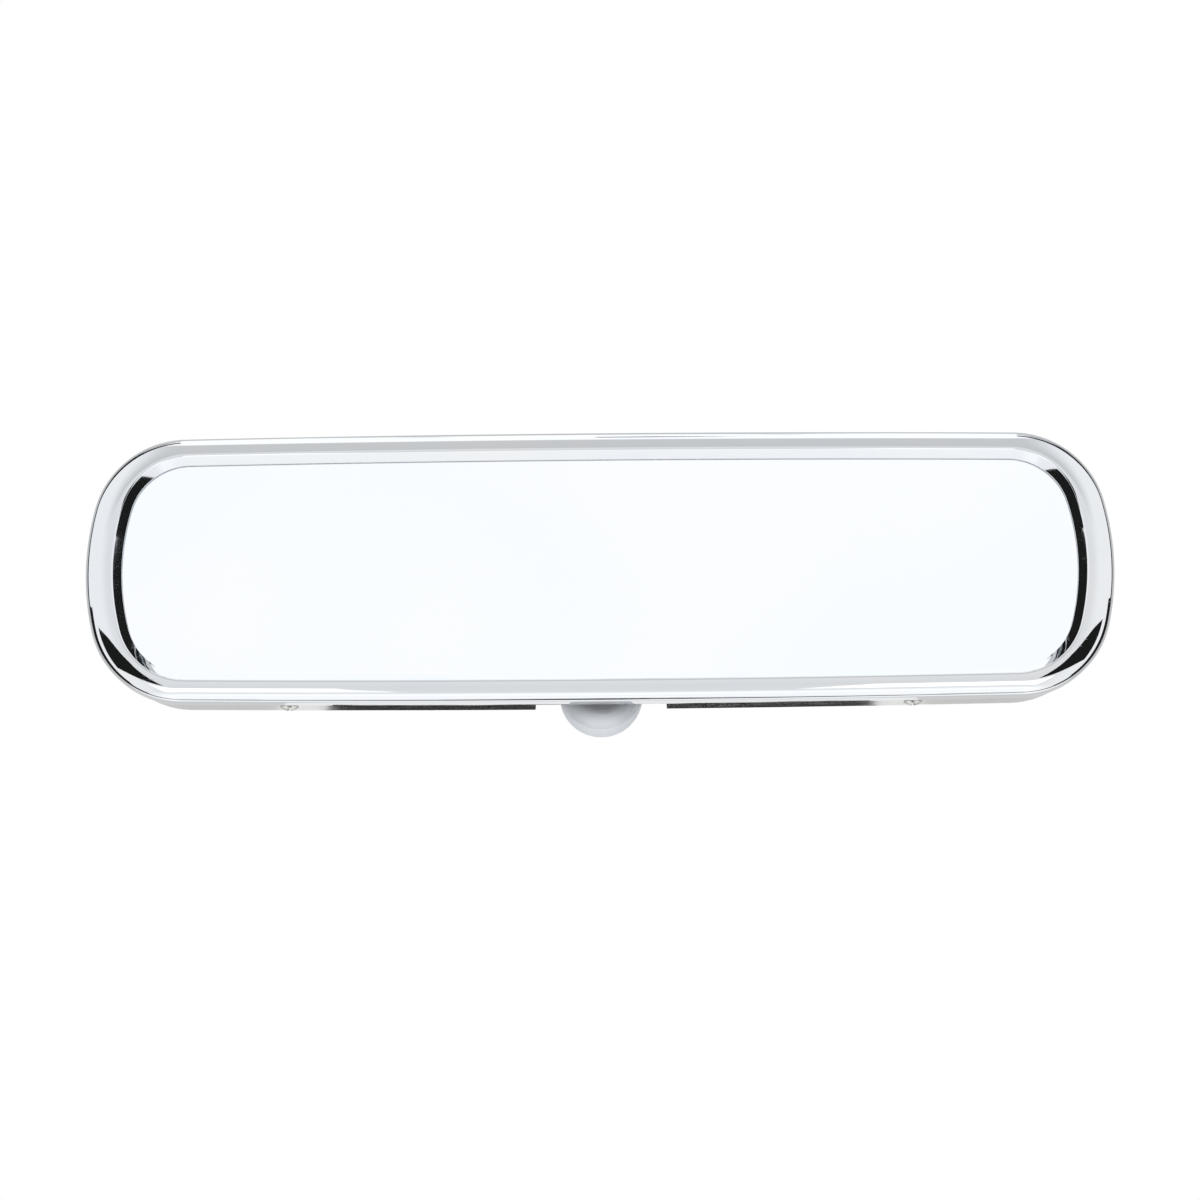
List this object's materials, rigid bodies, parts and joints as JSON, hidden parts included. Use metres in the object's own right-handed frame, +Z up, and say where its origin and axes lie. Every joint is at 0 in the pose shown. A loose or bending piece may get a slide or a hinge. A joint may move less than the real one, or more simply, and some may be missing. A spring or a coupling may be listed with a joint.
{
  "type": "interior rearview mirror",
  "caption": "Interior rearview mirror: bowed chrome rim round a prism glass, day/night flip lever with a round knob, ball joint and bracket with a screw-on foot.",
  "frame": {"origin": "centre of the foot's mounting face, between its screw holes", "axes": "+Z up; -Y the way the glass faces, towards the driver; +Y out of the foot's mounting face; +X along the glass, to the right as seen from the driver's side"},
  "size_m": [0.2544, 0.093, 0.0765],
  "materials": {
    "bracket_chrome": "bright plated die-casting",
    "foot_rubber": "matt moulded rubber",
    "stud_steel": "turned steel",
    "black_steel": "black oxide",
    "liner_nylon": "natural nylon",
    "spring_steel": "oiled spring steel",
    "zinc_plate": "zinc-plated pressing",
    "screw_steel": "nickel-plated screw",
    "stop_rubber": "matt rubber",
    "rim_chrome": "polished chrome",
    "gasket_vinyl": "pale grey extruded vinyl strip",
    "prism_glass": "clear, polished",
    "silvering": "silver under paint",
    "pad_foam": "soft foam",
    "shell_stainless": "polished stainless sheet",
    "rivet_steel": "polished rivet head",
    "lever_zinc": "die-cast, tumbled",
    "knob_chrome": "plated, satin centre"
  },
  "bodies": {
    "bracket": {"mounting_bracket": "bracket_chrome", "foot_gasket": "foot_rubber", "ball_stud": "stud_steel", "clamp_screw": "black_steel"},
    "liner": {"socket_liner": "liner_nylon"},
    "tension_cup": {"tension_cup": "spring_steel"},
    "pivot": {"pivot_plate": "zinc_plate", "ball_retainer": "zinc_plate", "retainer_screws": "screw_steel", "tension_spring": "spring_steel", "stop_pads": "stop_rubber"},
    "case": {"rim_bezel": "rim_chrome", "glass_gasket": "gasket_vinyl", "mirror_glass": "prism_glass", "mirror_silvering": "silvering", "backing_pad": "pad_foam", "carrier_plate": "zinc_plate", "back_shell": "shell_stainless", "case_screws": "screw_steel", "mechanism_frame": "zinc_plate", "frame_rivets": "rivet_steel", "hinge_rod": "stud_steel", "lever_pin": "stud_steel", "pin_clips": "black_steel", "pin_spacers": "zinc_plate", "spring_post": "stud_steel", "toggle_spring": "spring_steel"},
    "lever": {"flip_lever": "lever_zinc", "link_pin": "stud_steel", "flip_knob": "knob_chrome"}
  },
  "joints": [
    {"name": "head_yaw", "type": "hinge", "parent": "bracket", "child": "liner", "pos_m": [0, -0.062, -0.014], "axis": [0, 0, 1], "range_deg": [-25, 25]},
    {"name": "head_pitch", "type": "hinge", "parent": "liner", "child": "tension_cup", "pos_m": [0, -0.062, -0.014], "axis": [1, 0, 0], "range_deg": [-20, 20]},
    {"name": "head_roll", "type": "hinge", "parent": "tension_cup", "child": "pivot", "pos_m": [0, -0.062, -0.014], "axis": [0, 1, 0], "range_deg": [-8, 8]},
    {"name": "day_night_flip", "type": "hinge", "parent": "pivot", "child": "case", "pos_m": [0, -0.067, 0.0055], "axis": [1, 0, 0], "range_deg": [0, 4.86]},
    {"name": "lever_swing", "type": "hinge", "parent": "case", "child": "lever", "pos_m": [0, -0.07, -0.0325], "axis": [1, 0, 0], "range_deg": [0, 30], "deforming": ["toggle_spring"]}
  ],
  "couplings": [
    {"joint": "lever_swing", "follows": "day_night_flip", "ratio": 6.1722}
  ]
}
